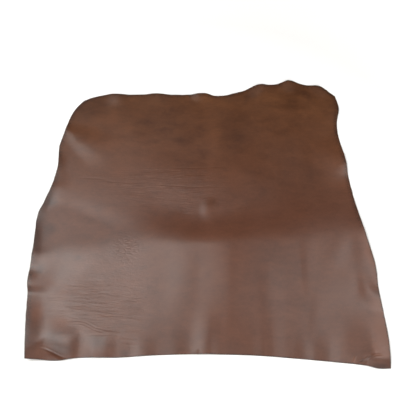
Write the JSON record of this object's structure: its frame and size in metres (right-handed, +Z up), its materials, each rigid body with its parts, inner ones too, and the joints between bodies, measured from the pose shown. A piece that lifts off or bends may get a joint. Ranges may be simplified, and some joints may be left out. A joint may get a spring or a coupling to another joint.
{
  "type": "leather hide",
  "caption": "Trimmed piece of dark brown leather hide lying flat, grain side up, with a straight cut edge, natural wavy sides, a soft old fold and edge ripples.",
  "frame": {"origin": "middle of the hide's footprint in plan, at the level of the surface that it lies on", "axes": "+Z up from the surface, through the grain side; +X along the straight cut edge, to the right as seen from in front of that edge; +Y from the cut edge towards the neck end"},
  "size_m": [1.2484, 1.1616, 0.0307],
  "materials": {
    "leather": "smooth satin grain, dyed dark brown, with a soft sheen and fine growth wrinkles"
  },
  "bodies": {
    "root": {"hide": "leather"}
  },
  "joints": []
}
